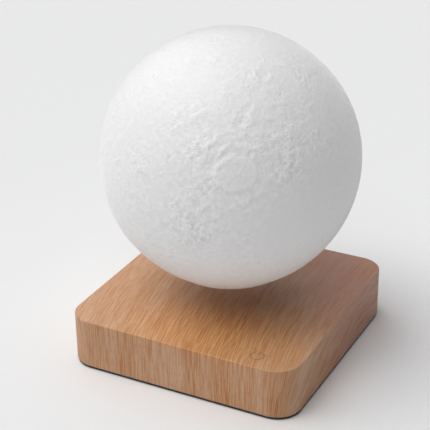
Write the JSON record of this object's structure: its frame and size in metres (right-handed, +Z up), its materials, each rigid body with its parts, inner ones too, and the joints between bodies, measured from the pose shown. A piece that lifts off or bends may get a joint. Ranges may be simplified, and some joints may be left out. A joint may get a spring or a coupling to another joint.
{
  "type": "levitating lamp",
  "caption": "White cratered moon ball floating over a square wooden base with round corners, a touch mark on its top and a power inlet in its rear wall.",
  "frame": {"origin": "centre of the base's footprint, on the surface it stands on", "axes": "+Z up through the middle of the base and the moon, -Y towards the front edge with the touch mark, +Y towards the power inlet, +X to the right seen from the front"},
  "size_m": [0.15, 0.15, 0.1919],
  "materials": {
    "beech_wood": "satin",
    "black_plastic": "satin",
    "foot_rubber": "matte",
    "screw_steel": "satin",
    "core_steel": "satin",
    "circuit_board": "satin",
    "white_board": "satin",
    "ferrite": "matte",
    "copper_wire": "satin",
    "copper_foil": "satin",
    "black_epoxy": "matte",
    "capacitor_sleeve": "gloss",
    "nickel_plate": "polished",
    "moon_plastic": "matte",
    "cap_plastic": "satin",
    "led_resin": "gloss"
  },
  "bodies": {
    "base": {"base_housing": "beech_wood", "bottom_plate": "black_plastic", "rubber_feet": "foot_rubber", "cover_screws": "screw_steel", "main_board": "circuit_board", "board_screws": "screw_steel", "ring_magnet": "ferrite", "electromagnet_coils": "copper_wire", "electromagnet_cores": "core_steel", "sensor_board": "circuit_board", "hall_sensors": "black_epoxy", "transmitter_coil": "copper_wire", "transmitter_leads": "copper_wire", "power_transistors": "black_epoxy", "filter_capacitors": "capacitor_sleeve", "control_chip": "black_epoxy", "choke_inductor": "black_epoxy", "dc_socket": "black_plastic", "socket_pin": "nickel_plate", "touch_pad": "copper_foil", "touch_board": "circuit_board", "touch_lead": "copper_wire"},
    "magnet": {"float_magnet": "nickel_plate"},
    "moon": {"moon_shade": "moon_plastic", "bottom_cap": "cap_plastic", "cap_screws": "screw_steel", "receiver_coil": "copper_wire", "receiver_leads": "copper_wire", "light_board": "white_board", "light_board_screws": "screw_steel", "leds": "led_resin", "rectifier_chip": "black_epoxy", "storage_capacitor": "capacitor_sleeve"}
  },
  "joints": [
    {"name": "moon_lift", "type": "slide", "parent": "base", "child": "magnet", "axis": [0, 0, 1], "range_m": [-0.0187, 0.06], "stiffness_N_per_m": 250, "springref_m": 0.0108},
    {"name": "moon_spin", "type": "hinge", "parent": "magnet", "child": "moon", "pos_m": [0, 0, 0.057], "axis": [0, 0, 1], "continuous": true}
  ]
}
